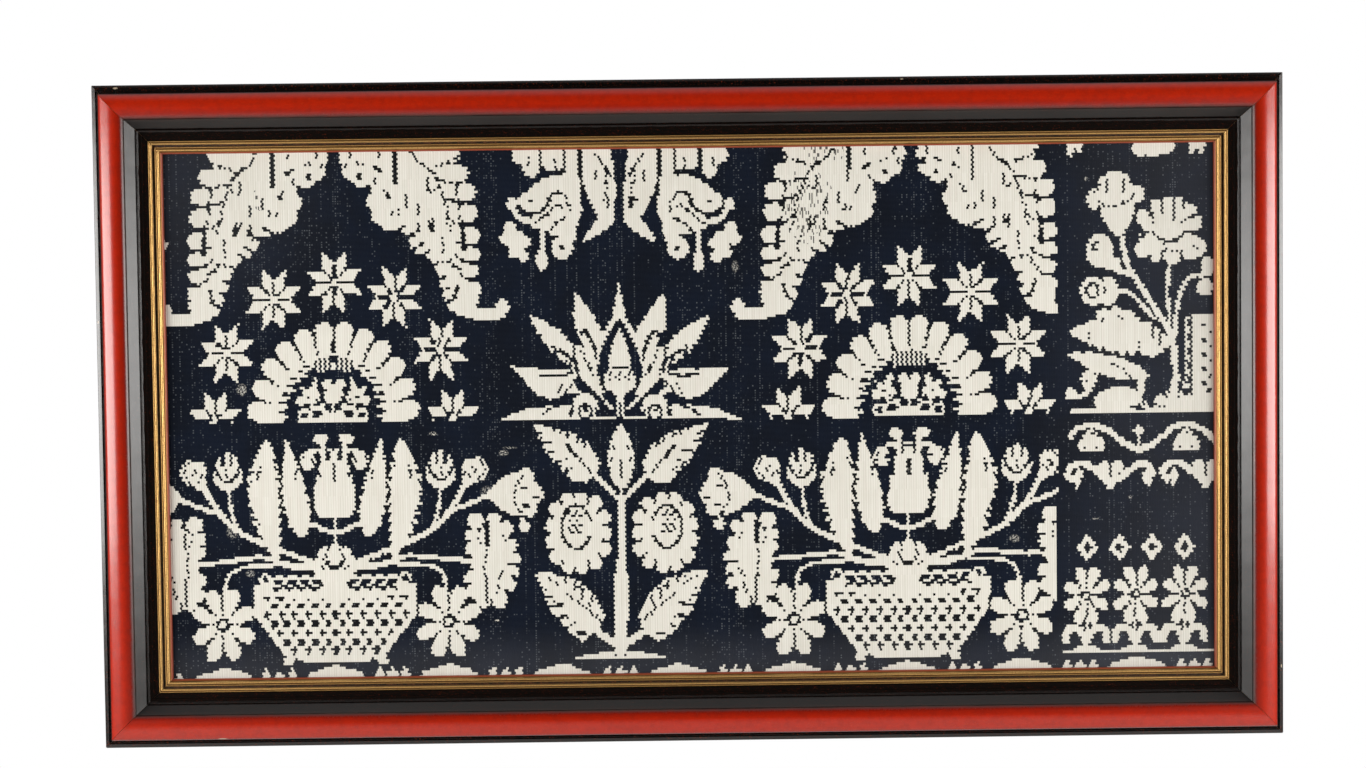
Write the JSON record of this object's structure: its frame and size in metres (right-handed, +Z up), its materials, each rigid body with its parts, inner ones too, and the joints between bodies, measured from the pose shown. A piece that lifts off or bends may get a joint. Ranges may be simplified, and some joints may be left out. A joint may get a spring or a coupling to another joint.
{
  "type": "woven coverlet in a picture frame",
  "caption": "Flat figured woven coverlet panel, landscape, stretched behind a reeded gilt slip in a mitred lacquered moulding with a board back; hangs on a wall.",
  "frame": {"origin": "centre of the flat back, on the backing board, against the wall", "axes": "+X along the frame's width, to the right when seen from the front; +Y out of the back, into the wall; +Z up"},
  "size_m": [1.18, 0.0337, 0.66],
  "materials": {
    "lacquered_moulding": "glossy dark red lacquer on a rounded cushion, black outer lip and cove, satin black inner bevel, edges a little chipped",
    "gilt_slip": "gilded reeding over red bole, rubbed, with a black line between its two bands",
    "woven_cloth": "two-colour double weave, indigo ground and undyed figures, matt, with light wear",
    "backing": "plain brown fibre board, matt"
  },
  "bodies": {
    "root": {"frame_top": "lacquered_moulding", "frame_right": "lacquered_moulding", "frame_bottom": "lacquered_moulding", "frame_left": "lacquered_moulding", "slip_top": "gilt_slip", "slip_right": "gilt_slip", "slip_bottom": "gilt_slip", "slip_left": "gilt_slip", "coverlet": "woven_cloth", "backing_board": "backing"}
  },
  "joints": []
}
